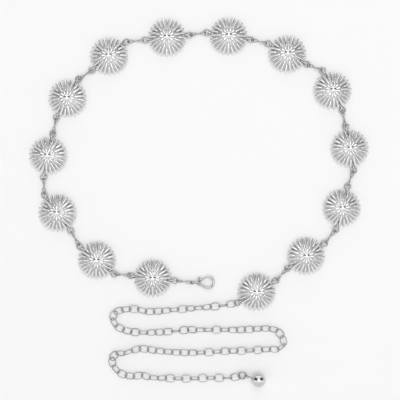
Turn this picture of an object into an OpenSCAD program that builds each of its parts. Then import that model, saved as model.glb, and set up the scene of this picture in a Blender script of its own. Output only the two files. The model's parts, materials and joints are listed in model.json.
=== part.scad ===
// A waist chain: fourteen domed flower medallions joined by jump rings and twisted
// links, a sprung clasp at one end and a long extension chain with a ball at the other.
// It lies face up on a flat surface at z = 0, seen from above with +Y up the picture.

/* [Flower medallion] */
// Diameter over the petal tips
flower_d = 26.8; // [26:0.1:27.4]
// Thickness of a petal at its rounded tip
petal_tip_d = 1.72; // [1.5:0.02:1.8]
// Thickness of a petal where it leaves the dome
petal_root_d = 1.3; // [1.1:0.05:1.4]
// Height of the petal tips' middle over the floor
petal_tip_z = 1.6; // [1.3:0.05:1.9]
// Where the long petals start, from the middle
long_petal_start = 5.3; // [5:0.1:5.6]
// Where the outer petals start, from the middle
outer_petal_start = 7.9; // [7.5:0.1:8.4]
// Where the short inner petals end, from the middle
short_petal_end = 4.9; // [4.6:0.1:5.1]
// Thickness of a short inner petal at its end
short_petal_d = 1.5; // [1.3:0.05:1.7]
// Diameter of the polished boss in the middle
boss_d = 5.7; // [5.2:0.1:6]
// Height of the boss over the floor
boss_top = 6.5; // [6.2:0.1:7]
// Diameter of the dome that carries the petals
dome_d = 22.6; // [21.5:0.1:23.2]
// Height of the dome over the floor
dome_top = 4.7; // [4.4:0.1:5]
// Height of the dome's upright rim
dome_rim = 0.7; // [0.5:0.05:0.9]
// Diameter of the hollow under the dome
hollow_d = 18.4; // [17:0.2:19]
// Height of the hollow under the dome
hollow_h = 3.1; // [2.6:0.1:3.3]

/* [Eyelet on a medallion] */
// Wire of the upright eyelet
eyelet_wire = 0.7; // [0.6:0.05:0.8]
// Clearance round the jump ring's wire in the eyelet
eyelet_clear = 0.3; // [0.25:0.05:0.35]

/* [Jump ring] */
// Outer diameter of a jump ring
ring_d = 5; // [4.8:0.1:5.2]
// Wire of a jump ring
ring_wire = 0.9; // [0.8:0.05:0.95]
// Clearance between a jump ring and the petal tips
ring_clear = 0.15; // [0.12:0.01:0.3]
// Roll of a lying jump ring about the chain's line
ring_roll = 12; // [9:1:15]

/* [Twisted link] */
// Overall length of a twisted link
twist_len = 12; // [11.8:0.1:12.6]
// Width over the loops of a twisted link
twist_w = 3.4; // [3.3:0.05:3.5]
// Wire of a twisted link
twist_wire = 0.8; // [0.7:0.05:0.85]
// Turn from one loop of a twisted link to the other
twist_turn = 80; // [74:2:86]
// Clear gap between the two strands where they cross
twist_gap = 0.25; // [0.15:0.05:0.4]

/* [Extension chain] */
// Overall length of a chain link
link_len = 7.4; // [7.35:0.05:7.6]
// Overall width of a chain link
link_w = 5.6; // [5.4:0.1:5.9]
// Wire of a chain link
link_wire = 0.65; // [0.55:0.05:0.7]
// Clearance where one part of the chain passes another
chain_clear = 0.12; // [0.1:0.01:0.16]

/* [End of the extension chain] */
// Outer diameter of the larger ring at the end
end_ring_d = 6.5; // [6.2:0.1:6.8]
// Wire of the larger ring at the end
end_ring_wire = 1.1; // [1:0.05:1.2]
// Roll of the larger ring
end_ring_roll = 20; // [16:1:24]
// Diameter of the ball
ball_d = 9.6; // [9:0.1:10]
// Middle radius of the ball's eyelet
ball_eyelet_r = 1.4; // [1.35:0.05:1.6]
// Wire of the ball's eyelet
ball_eyelet_wire = 0.8; // [0.7:0.05:0.85]
// Roll of the ball's eyelet about the chain's line
ball_eyelet_roll = 62; // [58:1:66]

/* [Clasp] */
// Width over the clasp's hook
clasp_w = 9.2; // [9:0.1:9.6]
// Wire of the hook
hook_wire = 1.4; // [1.2:0.05:1.5]
// Distance from the middle of the hook's bend to the neck
neck_reach = 8.3; // [8:0.1:8.6]
// Where the hook ends, as an angle round its bend
hook_end = 98; // [92:1:104]
// Play between the lever's nose and the hook's end, as an angle
nose_play = 4; // [3:0.5:6]
// Thickness of the lever's arm
lever_d = 1.15; // [1:0.05:1.3]
// Diameter of the lever's hub
hub_d = 2; // [1.9:0.05:2.1]
// Height of the lever's hub
hub_h = 1.2; // [1.1:0.05:1.3]
// Diameter of the hinge pin
pin_d = 0.8; // [0.7:0.05:0.85]
// Clearance of the hub on the pin and between the cheeks
hinge_clear = 0.1; // [0.08:0.01:0.12]
// Thickness of one cheek beside the hub
cheek_t = 0.5; // [0.45:0.05:0.55]
// Length of the thumb tab
tab_len = 2.3; // [2:0.1:2.6]
// Middle radius of the clasp's eye
clasp_eye_r = 1.4; // [1.35:0.05:1.5]
// Wire of the clasp's eye
clasp_eye_wire = 0.75; // [0.7:0.05:0.8]
// Roll of the clasp's eye about the chain's line
clasp_eye_roll = 34; // [30:1:38]

/* [Hidden] */
$fn = 48;

// Where each medallion lies: x, y and the direction of its onward eyelet in degrees
FLOWERS = [
    [-33, -54.5, 173.5], [-72, -42, 141.5], [-99.5, -9, 126.5], [-106, 31, 78],
    [-92.5, 71, 60], [-63.5, 100.5, 39.5], [-23, 113.5, 6.5], [20, 114.5, -9],
    [61, 102, -28], [92.5, 76.5, -63.5], [104.5, 36, -79.5], [99, -5.5, -105],
    [74, -39, -146], [39.5, -64, -150]
];
flowers = len(FLOWERS);

// Route of the extension chain: x and y of a few chosen points along its four rows
CHAIN_ROUTE = [
    [12.5, -74], [-5, -75.5], [-23.5, -77], [-35.5, -78], [-41, -77], [-47, -75.5],
    [-52, -77], [-56.5, -76.5], [-60.5, -79], [-61, -84], [-58.5, -88], [-54, -90.5],
    [-48, -92], [-43, -92.5], [-25, -92], [-7, -90.5], [11, -90.5], [29, -90.5],
    [47, -89.5], [52, -90], [56, -93], [58.5, -97.5], [58.5, -101.5], [55.5, -104],
    [50, -104], [33.5, -105], [16, -105.5], [-2, -106.5], [-20.5, -106], [-38.5, -104],
    [-44, -103.5], [-49.5, -106], [-55, -107], [-60.5, -107.5], [-62, -112],
    [-60, -116.5], [-57, -120], [-52, -122.5], [-46.5, -123], [-41.5, -122],
    [-35.5, -123.5], [-30, -124], [-11.5, -124.5], [7, -124], [19, -124], [25, -123.5]
];
end_ring_at = [29.5, -122.5];
ball_at = [40.6, -125];
clasp_at = [5.6, -57.7];

// How each chain link lies, row by row and turn by turn: f nearly flat, m a little
// rolled, t tilted and e nearly on edge. Neighbours roll to opposite sides.
LAY = str("mefmemfttfmmfmm", "fmmfft", "tfmeffetfttfmmtm", "fmtt",
          "mftfmmtfttftmtfmfem", "fmmm", "fmfemftftftfem");
ROLLS = [["f", 21], ["m", 36], ["t", 52], ["e", 70]];
links = len(LAY);

// Sizes worked out from the ones above
ring_mid_r = (ring_d - ring_wire) / 2;
eyelet_mid_r = (ring_wire + eyelet_wire) / 2 + eyelet_clear;
axis_z = eyelet_mid_r + eyelet_wire / 2 + 0.1;
petal_step = 15;
tip_r = (flower_d - petal_tip_d) / 2;
tip_half = petal_step / 2;
// The ring's wire passes between two tips: its middle keeps this far from a tip's middle
tip_keep = (petal_tip_d + ring_wire) / 2 + ring_clear;
tip_x = tip_r * cos(tip_half);
tip_y = tip_r * sin(tip_half);
ring_reach = tip_x + sqrt(pow(ring_mid_r + tip_keep, 2) - tip_y * tip_y);
eyelet_x = ring_reach - ring_mid_r;
dome_h = dome_top - dome_rim;
dome_sphere_r = (pow(dome_d / 2, 2) + dome_h * dome_h) / (2 * dome_h);
hollow_sphere_r = (pow(hollow_d / 2, 2) + hollow_h * hollow_h) / (2 * hollow_h);
boss_z = boss_top - boss_d / 2;

twist_half = (twist_len - twist_wire) / 2;
twist_h = (twist_w - twist_wire) / 2;
twist_waist = (twist_wire + twist_gap) / (2 * twist_h);
twist_straight = twist_half - twist_h;
TWIST_SIDES = 6;
TWIST_STEPS = 6;

link_half = (link_len - link_wire) / 2;
link_h = (link_w - link_wire) / 2;
end_ring_mid_r = (end_ring_d - end_ring_wire) / 2;
end_ring_z = max(end_ring_wire / 2 + end_ring_mid_r * sin(end_ring_roll),
                 ball_eyelet_wire / 2 + ball_eyelet_r * sin(ball_eyelet_roll)) + 0.05;

hook_r = (clasp_w - hook_wire) / 2;
tangent = acos(hook_r / neck_reach);
neck = [-neck_reach, 0, 0];
hub_at = [-neck_reach + 1.5, 0.55, 0];
clasp_eye_at = [-neck_reach - 0.9 - clasp_eye_r - clasp_eye_wire / 2, 0, 0];
clasp_z = hub_h / 2 + hinge_clear + cheek_t + 0.05;
clasp_eye_place = [clasp_at.x + clasp_eye_at.x, clasp_at.y + clasp_eye_at.y];

function flower_xy(i) = [FLOWERS[i][0], FLOWERS[i][1]];
function toward(a) = [cos(a), sin(a)];
function bearing(a, b) = atan2(b.y - a.y, b.x - a.x);
function front_ring(i) = flower_xy(i) + ring_reach * toward(FLOWERS[i][2]);
function back_ring(i) = flower_xy(i) - ring_reach * toward(FLOWERS[i][2]);
// The twisted link i joins medallion i to the next, and the last one joins the clasp
function twist_from(i) = i < flowers - 1 ? front_ring(i) : back_ring(0);
function twist_to(i) = i < flowers - 1 ? back_ring(i + 1) : clasp_eye_place;
function twist_to_r(i) = i < flowers - 1 ? ring_mid_r : clasp_eye_r;
function twist_bearing(i) = bearing(twist_from(i), twist_to(i));
function near_angle(a, b) = a + ((b - a + 540) % 360 - 180) / 2;

// The chain's line: a smooth curve through its chosen points, as a table of lengths
chain_from = front_ring(flowers - 1);
chain_ends = [chain_from, end_ring_at];
route = concat([chain_ends[0]], CHAIN_ROUTE, [chain_ends[1]]);
STEPS = 8;
function knot(i) = route[max(0, min(len(route) - 1, i))];
function curve(i, t) =
    let (a = knot(i - 1), b = knot(i), c = knot(i + 1), d = knot(i + 2))
    0.5 * (2 * b + (c - a) * t + (2 * a - 5 * b + 4 * c - d) * t * t
           + (3 * b - a - 3 * c + d) * t * t * t);
line = [for (i = [0 : len(route) - 2], k = [0 : STEPS - 1]) curve(i, k / STEPS),
        route[len(route) - 1]];
reach = [for (i = 0, s = 0; i < len(line);
              s = s + (i + 1 < len(line) ? norm(line[i + 1] - line[i]) : 0), i = i + 1) s];
x_table = [for (i = [0 : len(line) - 1]) [reach[i], line[i].x]];
y_table = [for (i = [0 : len(line) - 1]) [reach[i], line[i].y]];
function on_line(s) = [lookup(s, x_table), lookup(s, y_table)];
total = reach[len(reach) - 1];
// A joint is the place halfway between two touching wires
half_play = (link_wire + chain_clear) / 2;
start_s = ring_mid_r - (ring_wire + link_wire) / 2 - chain_clear + half_play;
stop_s = total - end_ring_mid_r + (end_ring_wire + link_wire) / 2 + chain_clear - half_play;
pitch = (stop_s - start_s) / links;
function roll_of(i) =
    (i % 2 == 0 ? 1 : -1) * ROLLS[search(LAY[i], ROLLS)[0]][1];
function lay_z(i) = i < 0 ? axis_z : i >= links ? end_ring_z
    : link_wire / 2 + link_h * abs(sin(roll_of(i))) + 0.03;
function joint(i) =
    let (p = on_line(start_s + i * pitch)) [p.x, p.y, max(lay_z(i - 1), lay_z(i))];

function two_digits(i) = str(i < 10 ? "0" : "", i);

module rod(a, b, ra, rb) {
    d = b - a;
    translate(a)
        rotate([0, acos(d.z / norm(d)), atan2(d.y, d.x)])
            cylinder(h = norm(d), r1 = ra, r2 = rb);
}

module wire_arc(r, wire, from, sweep)
    rotate([0, 0, from])
        rotate_extrude(angle = sweep)
            translate([r, 0]) circle(d = wire);

module wire_ring(r, wire) rotate_extrude() translate([r, 0]) circle(d = wire);

// A part of the chain laid at a place, along a bearing and rolled about it
module lay(xy, z, along, roll)
    translate([xy.x, xy.y, z]) rotate([0, 0, along]) rotate([roll, 0, 0]) children();

// The medallion: dome, petals, boss and two eyelets are one casting
function dome_z(r) = dome_top - dome_sphere_r + sqrt(pow(dome_sphere_r, 2) - r * r);

module dome()
    intersection() {
        translate([0, 0, dome_top - dome_sphere_r]) sphere(r = dome_sphere_r);
        cylinder(h = dome_top + 1, d = dome_d);
    }

module petal(from_r, from_z, tip_sphere) {
    rod([from_r, 0, from_z], [tip_r, 0, petal_tip_z], petal_root_d / 2, petal_tip_d / 2);
    translate([tip_r, 0, petal_tip_z]) sphere(d = tip_sphere);
}

module short_petal() {
    end = [short_petal_end - short_petal_d / 2, 0, dome_z(short_petal_end) + 0.25];
    rod([boss_d / 2 - 0.9, 0, boss_z + 0.4], end, short_petal_d / 2 - 0.15, short_petal_d / 2);
    translate(end) sphere(d = short_petal_d * 1.01);
}

module eyelet() {
    translate([eyelet_x, 0, axis_z]) rotate([90, 0, 0]) wire_ring(eyelet_mid_r, eyelet_wire);
    rod([dome_d / 2 - 1.2, 0, axis_z], [eyelet_x - eyelet_mid_r, 0, axis_z],
        eyelet_wire * 0.6, eyelet_wire * 0.6);
}

module flower() {
    tip_sphere = petal_tip_d * 1.01;
    difference() {
        union() {
            dome();
            for (k = [0 : 11]) {
                rotate([0, 0, tip_half + 30 * k])
                    petal(long_petal_start, dome_z(long_petal_start) + 0.25, tip_sphere);
                rotate([0, 0, tip_half + 30 * k + petal_step]) {
                    petal(outer_petal_start, dome_z(outer_petal_start) + 0.2, tip_sphere);
                    short_petal();
                }
            }
            translate([0, 0, boss_z]) sphere(d = boss_d);
            for (side = [0, 180]) rotate([0, 0, side]) eyelet();
        }
        translate([0, 0, hollow_h - hollow_sphere_r]) sphere(r = hollow_sphere_r);
    }
}

module place_flower(i)
    color("gainsboro")
        translate([FLOWERS[i][0], FLOWERS[i][1], 0]) rotate([0, 0, FLOWERS[i][2]]) flower();

// The twisted link: a stadium of wire, pinched in the middle and turned about its length
function ease(x) = sin(90 * max(-1, min(1, x)));
function twist_plan(k) =
    let (side = floor(k / TWIST_STEPS), f = (k % TWIST_STEPS) / TWIST_STEPS)
    side == 0 ? [twist_straight + twist_h * cos(180 * f - 90), twist_h * sin(180 * f - 90)]
    : side == 1 ? [twist_straight * (1 - 2 * f), twist_h]
    : side == 2 ? [-twist_straight + twist_h * cos(180 * f + 90), twist_h * sin(180 * f + 90)]
    : [twist_straight * (2 * f - 1), -twist_h];
function twist_angle(u) = 90 + twist_turn / 2 * ease(u / (twist_straight * 0.75));
function twist_pinch(u) =
    twist_waist + (1 - twist_waist) * pow(ease(u / (twist_straight * 0.85)), 2);
function twist_point(k) =
    let (p = twist_plan(k), a = twist_angle(p.x), v = p.y * twist_pinch(p.x))
    [p.x, v * cos(a), v * sin(a)];
function unit(v) = v / norm(v);

module twisted_link() {
    n = 4 * TWIST_STEPS;
    m = TWIST_SIDES;
    path = [for (k = [0 : n - 1]) twist_point(k)];
    points = [for (k = [0 : n - 1])
        let (t = unit(path[(k + 1) % n] - path[(k + n - 1) % n]),
             a = twist_angle(path[k].x),
             up = [0, -sin(a), cos(a)],
             e1 = unit(up - (up * t) * t),
             e2 = cross(t, e1))
        for (j = [0 : m - 1])
            path[k] + twist_wire / 2 * (cos(360 * j / m) * e1 + sin(360 * j / m) * e2)];
    faces = [for (k = [0 : n - 1], j = [0 : m - 1])
        let (k2 = (k + 1) % n, j2 = (j + 1) % m)
        for (f = [[k * m + j, k2 * m + j2, k * m + j2], [k * m + j, k2 * m + j, k2 * m + j2]]) f];
    polyhedron(points = points, faces = faces);
}

module place_twisted_link(i) {
    a = twist_from(i) + ring_mid_r * toward(twist_bearing(i));
    b = twist_to(i) - twist_to_r(i) * toward(twist_bearing(i));
    color("silver") lay((a + b) / 2, axis_z, twist_bearing(i), 0) twisted_link();
}

// Jump rings: one in front of each medallion and one behind it
module front_jump_ring(i) {
    along = i < flowers - 1 ? twist_bearing(i) : bearing(chain_from, route[1]);
    lifted = i < flowers - 1 ? 0 : eyelet_clear / 3;
    color("silver")
        lay(front_ring(i), axis_z + lifted, near_angle(FLOWERS[i][2], along),
            -ring_roll - 30 * lifted)
            wire_ring(ring_mid_r, ring_wire);
}

module back_jump_ring(i) {
    along = i > 0 ? twist_bearing(i - 1) : twist_bearing(flowers - 1) + 180;
    color("silver")
        lay(back_ring(i), axis_z, near_angle(FLOWERS[i][2], along), ring_roll)
            wire_ring(ring_mid_r, ring_wire);
}

module jump_rings(first, last)
    for (i = [first : last]) {
        back_jump_ring(i);
        front_jump_ring(i);
    }

// One link of the extension chain, in its own plane
module chain_link() {
    straight = link_half - link_h;
    for (side = [0, 180])
        rotate([0, 0, side]) {
            translate([straight, 0, 0]) wire_arc(link_h, link_wire, -90, 180);
            translate([-straight, link_h, 0]) rotate([0, 90, 0])
                cylinder(h = 2 * straight, d = link_wire);
        }
}

module place_chain_link(i) {
    a = joint(i);
    b = joint(i + 1);
    d = b - a;
    translate((a + b) / 2)
        rotate([0, -asin(d.z / norm(d)), atan2(d.y, d.x)])
            rotate([roll_of(i), 0, 0]) chain_link();
}

module extension_chain()
    color("silver") for (i = [0 : links - 1]) place_chain_link(i);

end_line = bearing(end_ring_at, ball_at);
last_line = bearing(CHAIN_ROUTE[len(CHAIN_ROUTE) - 1], end_ring_at);
end_side = links % 2 == 0 ? 1 : -1;

module end_ring()
    color("silver")
        lay(end_ring_at, end_ring_z, near_angle(end_line, last_line), end_side * end_ring_roll)
            wire_ring(end_ring_mid_r, end_ring_wire);

module end_ball() {
    centre = [ball_at.x, ball_at.y, ball_d / 2];
    inner = end_ring_mid_r - (end_ring_wire + ball_eyelet_wire) / 2 - chain_clear;
    eyelet_xy = end_ring_at + (inner + ball_eyelet_r) * toward(end_line);
    seat_xy = end_ring_at + (inner + 2 * ball_eyelet_r) * toward(end_line);
    color("silver") {
        translate(centre) sphere(d = ball_d);
        lay(eyelet_xy, end_ring_z, end_line, -end_side * ball_eyelet_roll)
            wire_ring(ball_eyelet_r, ball_eyelet_wire);
        rod([seat_xy.x, seat_xy.y, end_ring_z], centre, 0.6, 0.6);
    }
}

// The clasp: a hook with a forked neck and an eye, and a sprung lever on a pin
tangent_at = hook_r * [cos(180 - tangent), sin(180 - tangent), 0];
nose = hook_end + nose_play + 2 * asin((hook_wire + lever_d) / 4 / hook_r);
arm_end = hook_r * [cos(nose), sin(nose), 0];

module hub_space()
    translate(hub_at - [0, 0, hub_h / 2 + hinge_clear])
        cylinder(h = hub_h + 2 * hinge_clear, d = hub_d + 2 * hinge_clear + 0.1);

module clasp_body() {
    cheek_d = hub_d + 1;
    eye_side = clasp_eye_at + [clasp_eye_r, 0, 0];
    neck_r = 0.9;
    color("silver") translate([clasp_at.x, clasp_at.y, clasp_z]) {
        difference() {
            union() {
                wire_arc(hook_r, hook_wire, tangent - 180, 180 - tangent + hook_end);
                rotate([0, 0, hook_end]) translate([hook_r, 0, 0]) sphere(d = hook_wire * 1.01);
                rod(neck, [tangent_at.x, -tangent_at.y, 0], neck_r, hook_wire / 2);
                translate(hub_at - [0, 0, clasp_z - 0.05]) cylinder(h = 2 * clasp_z - 0.1, d = cheek_d);
                rod(neck - 0.6 * unit(eye_side - neck), eye_side, 0.68, 0.52);
            }
            hub_space();
            lever_space();
        }
        translate(hub_at - [0, 0, hub_h / 2 + hinge_clear + cheek_t / 2])
            cylinder(h = hub_h + 2 * hinge_clear + cheek_t, d = pin_d);
        translate(clasp_eye_at) rotate([clasp_eye_roll, 0, 0]) wire_ring(clasp_eye_r, clasp_eye_wire);
    }
}

// The room that the lever's arm sweeps between the cheeks
module lever_space()
    for (open = [-24 : 6 : 6])
        translate(hub_at) rotate([0, 0, bearing(hub_at, arm_end) + open])
            translate([0, -lever_d / 2 - hinge_clear, -hub_h / 2 - hinge_clear])
                cube([4, lever_d + 2 * hinge_clear, hub_h + 2 * hinge_clear]);

// A ball on the end of a rod that points along
module knob(at, along, d)
    translate(at) rotate([0, 0, atan2(along.y, along.x)]) sphere(d = d);

module clasp_lever() {
    arm = arm_end - hub_at;
    tab_from = hub_at + arm * 0.34;
    side = [-arm.y, arm.x, 0] / norm(arm);
    color("silver") translate([clasp_at.x, clasp_at.y, clasp_z])
        difference() {
            union() {
                translate(hub_at - [0, 0, hub_h / 2]) cylinder(h = hub_h, d = hub_d);
                rod(hub_at, arm_end, lever_d / 2, lever_d / 2);
                knob(arm_end, arm, lever_d * 1.01);
                rod(tab_from, tab_from + side * tab_len, lever_d / 2 * 0.9, lever_d / 2 * 0.9);
                knob(tab_from + side * tab_len, side, lever_d);
            }
            translate(hub_at - [0, 0, hub_h]) cylinder(h = 2 * hub_h, d = pin_d + 2 * hinge_clear);
        }
}

for (i = [0 : flowers - 1]) {
    place_flower(i);
    place_twisted_link(i);
}
jump_rings(0, 4);  // jump_rings_left
jump_rings(5, 9);  // jump_rings_top
jump_rings(10, 13);  // jump_rings_right
extension_chain();
end_ring();
end_ball();
clasp_body();
clasp_lever();
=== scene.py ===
"""The looks of a waist chain of flower medallions, lying on a white surface.

Every piece is placed from the frame: medallions and twisted links by their node's middle
and heading, rings and chain links by the middle and main directions of their own solid.
"""
import json
import math

import bmesh
import bpy
import numpy as np
from mathutils import Matrix, Vector


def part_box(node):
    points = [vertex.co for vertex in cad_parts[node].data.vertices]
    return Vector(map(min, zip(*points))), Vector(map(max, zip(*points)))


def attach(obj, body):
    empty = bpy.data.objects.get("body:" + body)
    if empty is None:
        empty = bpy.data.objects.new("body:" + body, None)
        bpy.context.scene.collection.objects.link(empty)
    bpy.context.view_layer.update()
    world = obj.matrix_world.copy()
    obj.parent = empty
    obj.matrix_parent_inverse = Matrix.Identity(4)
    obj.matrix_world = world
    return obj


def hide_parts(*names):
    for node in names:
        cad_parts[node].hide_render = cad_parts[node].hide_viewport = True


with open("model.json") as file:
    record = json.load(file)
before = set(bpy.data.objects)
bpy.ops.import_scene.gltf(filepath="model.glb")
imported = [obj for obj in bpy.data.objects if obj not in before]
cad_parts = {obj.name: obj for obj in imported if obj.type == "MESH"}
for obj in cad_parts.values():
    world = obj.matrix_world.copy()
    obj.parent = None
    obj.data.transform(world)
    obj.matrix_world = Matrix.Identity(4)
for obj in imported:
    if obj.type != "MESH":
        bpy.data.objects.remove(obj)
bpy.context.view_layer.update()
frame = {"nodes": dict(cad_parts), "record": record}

MM = 0.001


def body_with(node):
    """The name of the body that a node belongs to."""
    bodies = frame["record"]["behaviour"]["bodies"]
    return next(name for name, nodes in bodies.items() if node in nodes)


CHAIN = body_with("clasp_body")
LEVER = body_with("clasp_lever")

# Camera: straight above the middle of the picture
VIEW_WIDTH = 280 * MM
CAMERA_HEIGHT = 525 * MM
SENSOR = 36.0
NEAREST_SEEN = 10 * MM

# Dome of a medallion, in millimetres from the medallion's own middle
DOME_R = 11.3
DOME_TOP = 4.7
DOME_RIM = 0.7
DOME_EDGE = 0.05
HOLLOW_R = 9.2
HOLLOW_TOP = 3.1
DOME_STEPS = 96
DOME_RINGS = 22
HOLLOW_RINGS = 14

# Petals, in millimetres: ends as (radius, height), sizes as the rod's radius
PETALS = 12
LONG_FROM = (5.1, 4.3)
OUTER_FROM = (7.7, 3.25)
TIP_AT = (12.54, 1.6)
ROOT_SIZE = 0.62
TIP_SIZE = 0.86
LONG_ARCH = 0.32
OUTER_ARCH = 0.192
SHORT_FROM = (2.0, 4.35)
SHORT_TO = (4.75, 4.3)
SHORT_ROOT_SIZE = 0.576
SHORT_TIP_SIZE = 0.72
SHORT_ARCH = 0.05
PETAL_TAPER = 0.8
PETAL_RINGS = 10
PETAL_SIDES = 14
PETAL_FIRST = 0.25
ROUND_TIP = [math.radians(a) for a in (22, 42, 60, 75, 86)]

# Boss and eyelets, in millimetres
BOSS_R = 2.85
BOSS_TOP = 6.48
BOSS_FOOT = 1.6
BOSS_RINGS = 18
BOSS_STEPS = 48
EYELET_X = 13.57
EYELET_Z = 1.55
EYELET_R = 1.1
EYELET_WIRE = 0.35
EYELET_RINGS = 27
STEM_FROM = 10.1
STEM_SIZE = 0.42
EYELET_SIDES = 10

# Recesses get painted shade, marked from 0 to 1 over these depths, in millimetres
RECESS_START = 0.15
RECESS_DEPTH = 0.7
RECESS_PAST_TIP = 0.2
INNER_RECESS_Z = 4.5
INNER_RECESS_DEPTH = 0.6
BOSS_SHARE = 0.98
SAME_POINT = 0.0005

# Twisted link, in millimetres
TWIST_LEN = 12.0
TWIST_W = 3.4
TWIST_WIRE = 0.8
TWIST_GAP = 0.25
TWIST_TURN = math.radians(80)
TURN_SHARE = 0.75
PINCH_SHARE = 0.85
LOOP_RINGS = 12
SIDE_RINGS = 14

# Bent wire: sides round the wire, and rings along it
WIRE_SIDES = 12
RING_RINGS = 40
LINK_RINGS = 44
SAME_CORNER = 1e-7
BALL_SHARP = 40
CLASP_SHARP = 35

# Metal: grey, roughness, faint wear, and painted shade in its recesses
CLOUD_SCALE = 240.0
CLOUD_DETAIL = 3.0
GRAIN_SCALE = 2600.0
GRAIN_DETAIL = 2.0
GRAIN_STRENGTH = 0.03
GRAIN_HEIGHT = 0.1 * MM
ROUGHNESS_SPREAD = 0.06
RECESS_ROUGHNESS = 0.25

# Surface and lights
SURFACE_GREY = 0.93
SURFACE_ROUGHNESS = 0.7
SURFACE_HALF = 2.5
ROOM_LEVEL = 1.2
FRONT_DIMMED = 0.3
GAP_DARKNESS = 0.92
SOFTBOX_AT = Vector((0.1, 0.2, 1.3))
SOFTBOX_SIZE = (1.2, 0.9)
SOFTBOX_POWER = 4.0


class Shade:
    """A shader socket that adds Math nodes when values are combined."""

    def __init__(self, tree, socket):
        self.tree, self.socket = tree, socket

    def _math(self, operation, a, b=None):
        node = self.tree.nodes.new("ShaderNodeMath")
        node.operation = operation
        for slot, value in zip(node.inputs, (a, b)):
            if isinstance(value, Shade):
                self.tree.links.new(value.socket, slot)
            elif value is not None:
                slot.default_value = value
        return Shade(self.tree, node.outputs[0])

    def __add__(self, other):
        return self._math("ADD", self, other)

    def __sub__(self, other):
        return self._math("SUBTRACT", self, other)

    def __mul__(self, other):
        return self._math("MULTIPLY", self, other)

    def __radd__(self, other):
        return self._math("ADD", other, self)

    def __rsub__(self, other):
        return self._math("SUBTRACT", other, self)

    def __rmul__(self, other):
        return self._math("MULTIPLY", other, self)

    def __abs__(self):
        return self._math("ABSOLUTE", self)

    def ramp(self, low, high):
        """0 below low, 1 above high, smooth between."""
        node = self.tree.nodes.new("ShaderNodeMapRange")
        node.interpolation_type = "SMOOTHSTEP"
        node.inputs["From Min"].default_value = low
        node.inputs["From Max"].default_value = high
        self.tree.links.new(self.socket, node.inputs["Value"])
        return Shade(self.tree, node.outputs["Result"])


class Nodes:
    """The nodes of one material or world."""

    def __init__(self, owner):
        owner.use_nodes = True
        self.tree = owner.node_tree
        self.tree.nodes.clear()

    def add(self, kind, settings=None, **values):
        node = self.tree.nodes.new(kind)
        for name, value in (settings or {}).items():
            setattr(node, name, value)
        for name, value in values.items():
            slot = node.inputs[name.replace("_", " ")]
            if isinstance(value, Shade):
                self.tree.links.new(value.socket, slot)
            elif isinstance(value, bpy.types.NodeSocket):
                self.tree.links.new(value, slot)
            else:
                slot.default_value = value
        return node

    def out(self, node, name):
        return Shade(self.tree, node.outputs[name])


def metal(name, grey, roughness, worn=0.05, painted_recess_shade=None):
    """Polished silver-coloured metal with faint wear, and painted shade where a recess is marked:
    darker there, and rougher.
    """
    material = bpy.data.materials.new(name)
    nodes = Nodes(material)
    where = nodes.add("ShaderNodeTexCoord").outputs["Object"]
    cloud = nodes.add("ShaderNodeTexNoise", Vector=where, Scale=CLOUD_SCALE, Detail=CLOUD_DETAIL)
    fine = nodes.add("ShaderNodeTexNoise", Vector=where, Scale=GRAIN_SCALE, Detail=GRAIN_DETAIL)
    cloudy = nodes.out(cloud, "Fac")
    grain = nodes.out(fine, "Fac")
    tone = 1 - cloudy * worn
    matt = roughness + (cloudy - 0.5) * ROUGHNESS_SPREAD
    # Painted shade: the tone is darkened, and the roughness raised, where the recess mask is set
    if painted_recess_shade:
        recess_shade_mask = nodes.out(nodes.add("ShaderNodeAttribute", {"attribute_name": "painted_recess_shade"}), "Fac")
        tone = tone - recess_shade_mask * painted_recess_shade
        matt = matt + recess_shade_mask * RECESS_ROUGHNESS
    bump = nodes.add("ShaderNodeBump", Height=grain, Strength=GRAIN_STRENGTH, Distance=GRAIN_HEIGHT)
    surface = nodes.add("ShaderNodeBsdfPrincipled", Base_Color=tone * grey, Metallic=1.0,
                        Roughness=matt, Normal=bump.outputs["Normal"])
    nodes.add("ShaderNodeOutputMaterial", Surface=surface.outputs["BSDF"])
    return material


def white_surface():
    material = bpy.data.materials.new("white_surface")
    nodes = Nodes(material)
    surface = nodes.add("ShaderNodeBsdfPrincipled", Base_Color=[SURFACE_GREY] * 3 + [1],
                        Roughness=SURFACE_ROUGHNESS)
    nodes.add("ShaderNodeOutputMaterial", Surface=surface.outputs["BSDF"])
    return material


def studio():
    """A white room with a dark gap at the back, to the left and to the right of its middle."""
    world = bpy.context.scene.world or bpy.data.worlds.new("studio")
    bpy.context.scene.world = world
    nodes = Nodes(world)
    where = nodes.add("ShaderNodeTexCoord").outputs["Generated"]
    axes = nodes.add("ShaderNodeSeparateXYZ", Vector=where)
    x, y = (nodes.out(axes, axis) for axis in "XY")
    back = y.ramp(0.0, 0.16) * (0.8 - y).ramp(0.0, 0.2)
    dark = back * abs(x).ramp(0.16, 0.34)
    front = (0.0 - y).ramp(0.2, 0.5)
    level = (ROOM_LEVEL - front * FRONT_DIMMED) * (1 - dark * GAP_DARKNESS)
    shine = nodes.add("ShaderNodeBackground", Color=(1, 1, 1, 1), Strength=level)
    nodes.add("ShaderNodeOutputWorld", Surface=shine.outputs["Background"])


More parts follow.
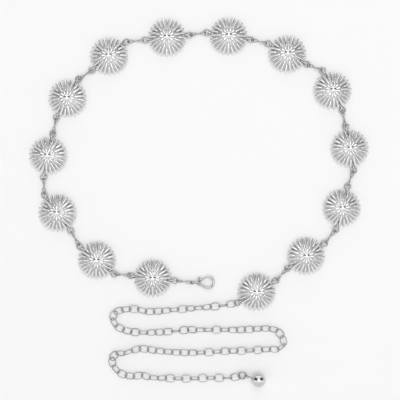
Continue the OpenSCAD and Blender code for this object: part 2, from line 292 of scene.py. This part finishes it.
def sweep(mesh, points, sizes, sides, closed=False):
    """A round bar: a circle extruded from point to point, flat at open ends."""
    count = len(points)
    points = [Vector(p) for p in points]

    def way(i):
        if closed:
            return (points[(i + 1) % count] - points[i - 1]).normalized()
        return (points[min(count - 1, i + 1)] - points[max(0, i - 1)]).normalized()

    def placed(i):
        return Matrix.Translation(points[i]) @ way(i).to_track_quat("Z", "Y").to_matrix().to_4x4()

    ring = bmesh.ops.create_circle(mesh, cap_ends=False, segments=sides, radius=1.0)["verts"]
    for vert in ring:
        vert.co = placed(0) @ (vert.co * sizes[0])
    edges = list({e for v in ring for e in v.link_edges if e.other_vert(v) in ring})
    first_edges = edges
    before = placed(0).inverted()
    for i in range(1, count):
        grown = bmesh.ops.extrude_edge_only(mesh, edges=edges)["geom"]
        ring = [g for g in grown if isinstance(g, bmesh.types.BMVert)]
        edges = [g for g in grown if isinstance(g, bmesh.types.BMEdge)
                 and all(v in ring for v in g.verts)]
        turn = placed(i) @ Matrix.Diagonal([sizes[i] / sizes[i - 1]] * 3 + [1]) @ before
        for vert in ring:
            vert.co = turn @ vert.co
        before = placed(i).inverted()
    if closed:
        bmesh.ops.bridge_loops(mesh, edges=edges + first_edges)
    else:
        bmesh.ops.contextual_create(mesh, geom=edges)
        bmesh.ops.contextual_create(mesh, geom=first_edges)


def lathe(mesh, profile, steps):
    """A turned shape: a profile of (radius, height) spun about the upright axis."""
    verts = [mesh.verts.new((r, 0, z)) for r, z in profile]
    edges = [mesh.edges.new(pair) for pair in zip(verts, verts[1:])]
    bmesh.ops.spin(mesh, geom=verts + edges, cent=(0, 0, 0), axis=(0, 0, 1),
                   angle=math.tau, steps=steps, use_merge=True)


def finished(mesh, name):
    """Mesh data from a bmesh, with its faces turned outward and shaded smooth."""
    bmesh.ops.recalc_face_normals(mesh, faces=mesh.faces)
    data = bpy.data.meshes.new(name)
    mesh.to_mesh(data)
    mesh.free()
    data.polygons.foreach_set("use_smooth", [True] * len(data.polygons))
    return data


def dome_height(r, half_width, top, rim):
    """Height over the floor of a dome with the given half width, top and rim."""
    rise = top - rim
    sphere = (half_width ** 2 + rise ** 2) / (2 * rise)
    return top - sphere + math.sqrt(max(sphere ** 2 - r * r, 0))


def petal(mesh, start, end, root, tip, arch, turn):
    """One rod-like petal, arched over the dome, with a round tip."""
    points, sizes = [], []
    for f in np.linspace(0, 1, PETAL_RINGS):
        r = start[0] + (end[0] - start[0]) * f
        z = start[1] + (end[1] - start[1]) * f + arch * math.sin(math.pi * f)
        points.append(Vector((r * math.cos(turn), r * math.sin(turn), z)))
        sizes.append(root + (tip - root) * f ** PETAL_TAPER)
    last = points[-1]
    away = (last - points[-2]).normalized()
    for a in ROUND_TIP:
        points.append(last + away * tip * math.sin(a))
        sizes.append(tip * math.cos(a))
    sweep(mesh, points, sizes, PETAL_SIDES)


def dome(mesh):
    outer = [(r, dome_height(r, DOME_R, DOME_TOP, DOME_RIM))
             for r in np.linspace(0, DOME_R, DOME_RINGS)]
    edge = [(DOME_R, DOME_EDGE), (DOME_R - DOME_EDGE, 0.0)]
    inner = [(r, dome_height(r, HOLLOW_R, HOLLOW_TOP, 0))
             for r in np.linspace(HOLLOW_R, 0, HOLLOW_RINGS)]
    lathe(mesh, outer + edge + inner, DOME_STEPS)


def petals(mesh):
    step = math.tau / PETALS
    for k in range(PETALS):
        turn = step * (k + PETAL_FIRST)
        between = turn + step / 2
        petal(mesh, LONG_FROM, TIP_AT, ROOT_SIZE, TIP_SIZE, LONG_ARCH, turn)
        petal(mesh, OUTER_FROM, TIP_AT, ROOT_SIZE, TIP_SIZE, OUTER_ARCH, between)
        petal(mesh, SHORT_FROM, SHORT_TO, SHORT_ROOT_SIZE, SHORT_TIP_SIZE, SHORT_ARCH, between)


def boss(mesh):
    middle = BOSS_TOP - BOSS_R
    profile = [(max(BOSS_R * math.cos(a), 0.0), middle + BOSS_R * math.sin(a))
               for a in np.linspace(math.pi / 2, -math.pi / 3, BOSS_RINGS)]
    lathe(mesh, profile + [(0, BOSS_FOOT)], BOSS_STEPS)


def eyelets(mesh):
    for side in (1, -1):
        ring = [((EYELET_X + EYELET_R * math.cos(a)) * side, 0, EYELET_Z + EYELET_R * math.sin(a))
                for a in np.linspace(0, math.tau, EYELET_RINGS, endpoint=False)]
        sweep(mesh, ring, [EYELET_WIRE] * EYELET_RINGS, EYELET_SIDES, closed=True)
        stem = [(x * side, 0, EYELET_Z) for x in (STEM_FROM, EYELET_X - EYELET_R)]
        sweep(mesh, stem, [STEM_SIZE] * 2, EYELET_SIDES)


def share(value):
    """A value kept between 0 and 1."""
    return min(max(value, 0), 1)


def recess_at(point):
    """How deep a point of the petals or the boss lies between its neighbours, from 0 to 1; this is
    how much painted shade it gets.
    """
    r = math.hypot(point.x, point.y)
    if r < BOSS_R * BOSS_SHARE:
        return 0.0
    if r < LONG_FROM[0]:
        return share((INNER_RECESS_Z - point.z) / INNER_RECESS_DEPTH)
    if r >= TIP_AT[0] + RECESS_PAST_TIP:
        return 0.0
    along = share((r - LONG_FROM[0]) / (TIP_AT[0] - LONG_FROM[0]))
    line = LONG_FROM[1] + (TIP_AT[1] - LONG_FROM[1]) * along
    return share((line + RECESS_START - point.z) / RECESS_DEPTH)


def medallion_mesh():
    mesh = bmesh.new()
    painted_recess_shade = mesh.verts.layers.float.new("painted_recess_shade")
    dome(mesh)
    # The whole dome under the petals gets the full painted shade
    for vert in mesh.verts:
        vert[painted_recess_shade] = 1.0
    shell = len(mesh.verts)
    petals(mesh)
    boss(mesh)
    eyelets(mesh)
    mesh.verts.ensure_lookup_table()
    # Petals and boss get painted shade by how deep they lie between their neighbours
    for vert in mesh.verts[shell:]:
        vert[painted_recess_shade] = recess_at(vert.co)
    bmesh.ops.remove_doubles(mesh, verts=mesh.verts, dist=SAME_POINT)
    data = finished(mesh, "medallion")
    data.transform(Matrix.Scale(MM, 4))
    return data


def piece(name, data, body, node, material):
    """A piece of the visual model that stands in for one node."""
    thing = bpy.data.objects.new(name, data)
    bpy.context.scene.collection.objects.link(thing)
    thing.data.materials.append(material)
    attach(thing, body)
    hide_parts(node)


def merged(node):
    """A copy of a node's mesh with its loose triangles joined."""
    mesh = bmesh.new()
    mesh.from_mesh(frame["nodes"][node].data)
    bmesh.ops.remove_doubles(mesh, verts=mesh.verts, dist=SAME_CORNER)
    return mesh


def corners(node):
    """The corner points of a node's mesh, one a row."""
    return np.array([v.co[:] for v in frame["nodes"][node].data.vertices])


def solids(node):
    """The corner points of each loose solid of a node."""
    mesh = merged(node)
    seen = set()
    found = []
    for first in mesh.verts:
        if first in seen:
            continue
        seen.add(first)
        queue = [first]
        island = []
        while queue:
            vert = queue.pop()
            island.append(vert.co[:])
            for edge in vert.link_edges:
                other = edge.other_vert(vert)
                if other not in seen:
                    seen.add(other)
                    queue.append(other)
        found.append(np.array(island))
    mesh.free()
    return found


def directions(points):
    """A solid's middle, the directions along and across it, and its size in them."""
    middle = points.mean(axis=0)
    _, axes = np.linalg.eigh(np.cov((points - middle).T))
    ways = axes[:, ::-1].T
    local = (points - middle) @ ways.T
    low, high = local.min(axis=0), local.max(axis=0)
    middle = middle + ((low + high) / 2) @ ways
    return Vector(middle), Vector(ways[0]), Vector(ways[1]), high - low


def bent_wire(mesh, points, rings):
    """A closed wire through a solid's box: a stadium, or a ring where it is as wide as long."""
    middle, along, side, (length, width, wire) = directions(points)
    half_w = (width - wire) / 2
    straight = max((length - width) / 2, 0)
    path = []
    for k in range(rings):
        a = math.tau * k / rings - math.pi / 2
        shift = straight if 0 < k < rings / 2 else -straight
        path.append(middle + along * (shift + half_w * math.cos(a)) + side * half_w * math.sin(a))
    sweep(mesh, path, [wire / 2] * rings, WIRE_SIDES, closed=True)


def wires(name, node, material, rings):
    """Each loose solid of a node as one smooth bent wire."""
    mesh = bmesh.new()
    for points in solids(node):
        bent_wire(mesh, points, rings)
    piece(name, finished(mesh, name), CHAIN, node, material)


def copied(name, node, body, material, sharp):
    """A node's own shape, shaded smooth up to the sharp angle in degrees."""
    data = bpy.data.meshes.new(name)
    mesh = merged(node)
    mesh.to_mesh(data)
    mesh.free()
    data.polygons.foreach_set("use_smooth", [True] * len(data.polygons))
    data.set_sharp_from_angle(angle=math.radians(sharp))
    piece(name, data, body, node, material)


def nodes_named(start):
    return sorted(node for node in frame["nodes"] if node.startswith(start))


def medallions(material):
    data = medallion_mesh()
    for node in nodes_named("flower_"):
        low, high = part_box(node)
        middle = (low + high) / 2
        away = corners(node) - np.array(middle)
        eyelet = away[np.argmax(np.hypot(away[:, 0], away[:, 1]))]
        own = data.copy()
        own.transform(Matrix.Translation((middle.x, middle.y, low.z))
                      @ Matrix.Rotation(math.atan2(eyelet[1], eyelet[0]), 4, "Z"))
        piece(node.replace("flower", "medallion"), own, CHAIN, node, material)


def twisted_path():
    """Middle line of a twisted link along +X, in millimetres."""
    half_w = (TWIST_W - TWIST_WIRE) / 2
    straight = (TWIST_LEN - TWIST_WIRE) / 2 - half_w
    waist = (TWIST_WIRE + TWIST_GAP) / (2 * half_w)

    def ease(x):
        return math.sin(math.pi / 2 * max(-1, min(1, x)))

    flat = [(straight + half_w * math.cos(a), half_w * math.sin(a))
            for a in np.linspace(-math.pi / 2, math.pi / 2, LOOP_RINGS, endpoint=False)]
    flat += [(straight * (1 - 2 * f), half_w) for f in np.linspace(0, 1, SIDE_RINGS, endpoint=False)]
    flat += [(-x, -y) for x, y in flat]
    path = []
    for x, y in flat:
        turn = math.pi / 2 + TWIST_TURN / 2 * ease(x / (straight * TURN_SHARE))
        y *= waist + (1 - waist) * ease(x / (straight * PINCH_SHARE)) ** 2
        path.append(Vector((x, y * math.cos(turn), y * math.sin(turn))))
    return path


def twisted_links(material):
    path = twisted_path()
    wire = [TWIST_WIRE / 2 * MM] * len(path)
    for node in nodes_named("twisted_link_"):
        low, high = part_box(node)
        along = directions(corners(node))[1]
        place = (Matrix.Translation((low + high) / 2)
                 @ Matrix.Rotation(math.atan2(along.y, along.x), 4, "Z"))
        mesh = bmesh.new()
        sweep(mesh, [place @ (p * MM) for p in path], wire, WIRE_SIDES, closed=True)
        data = finished(mesh, "twisted_wire")
        piece(node.replace("link", "wire"), data, CHAIN, node, material)


def floor():
    data = bpy.data.meshes.new("floor")
    mesh = bmesh.new()
    bmesh.ops.create_grid(mesh, x_segments=1, y_segments=1, size=SURFACE_HALF)
    mesh.to_mesh(data)
    mesh.free()
    thing = bpy.data.objects.new("floor", data)
    bpy.context.scene.collection.objects.link(thing)
    data.materials.append(white_surface())


def softbox():
    data = bpy.data.lights.new("softbox", "AREA")
    data.shape = "RECTANGLE"
    data.size, data.size_y = SOFTBOX_SIZE
    data.energy = SOFTBOX_POWER
    thing = bpy.data.objects.new("softbox", data)
    thing.location = SOFTBOX_AT
    thing.rotation_euler = SOFTBOX_AT.to_track_quat("Z", "Y").to_euler()
    bpy.context.scene.collection.objects.link(thing)


def camera():
    data = bpy.data.cameras.new("camera")
    data.sensor_width = SENSOR
    data.lens = SENSOR * CAMERA_HEIGHT / VIEW_WIDTH
    data.clip_start = NEAREST_SEEN
    thing = bpy.data.objects.new("camera", data)
    thing.location = (0, 0, CAMERA_HEIGHT)
    bpy.context.scene.collection.objects.link(thing)
    bpy.context.scene.camera = thing


camera()
floor()
studio()
softbox()
bpy.context.scene.view_settings.view_transform = "Standard"

# The flowers' metal darkens its recesses with painted shade
flower_metal = metal("flower_metal", 0.84, 0.2, painted_recess_shade=0.24)
wire_metal = metal("wire_metal", 0.42, 0.16)
ball_metal = metal("polished_metal", 0.64, 0.05, worn=0.02)
clasp_metal = metal("clasp_metal", 0.5, 0.12)

medallions(flower_metal)
twisted_links(wire_metal)
wires("rings_left", "jump_rings_left", wire_metal, RING_RINGS)
wires("rings_top", "jump_rings_top", wire_metal, RING_RINGS)
wires("rings_right", "jump_rings_right", wire_metal, RING_RINGS)
wires("large_ring", "end_ring", wire_metal, RING_RINGS)
wires("cable_chain", "extension_chain", wire_metal, LINK_RINGS)
copied("ball_and_eyelet", "end_ball", CHAIN, ball_metal, BALL_SHARP)
copied("hook_and_eye", "clasp_body", CHAIN, clasp_metal, CLASP_SHARP)
copied("sprung_lever", "clasp_lever", LEVER, clasp_metal, CLASP_SHARP)
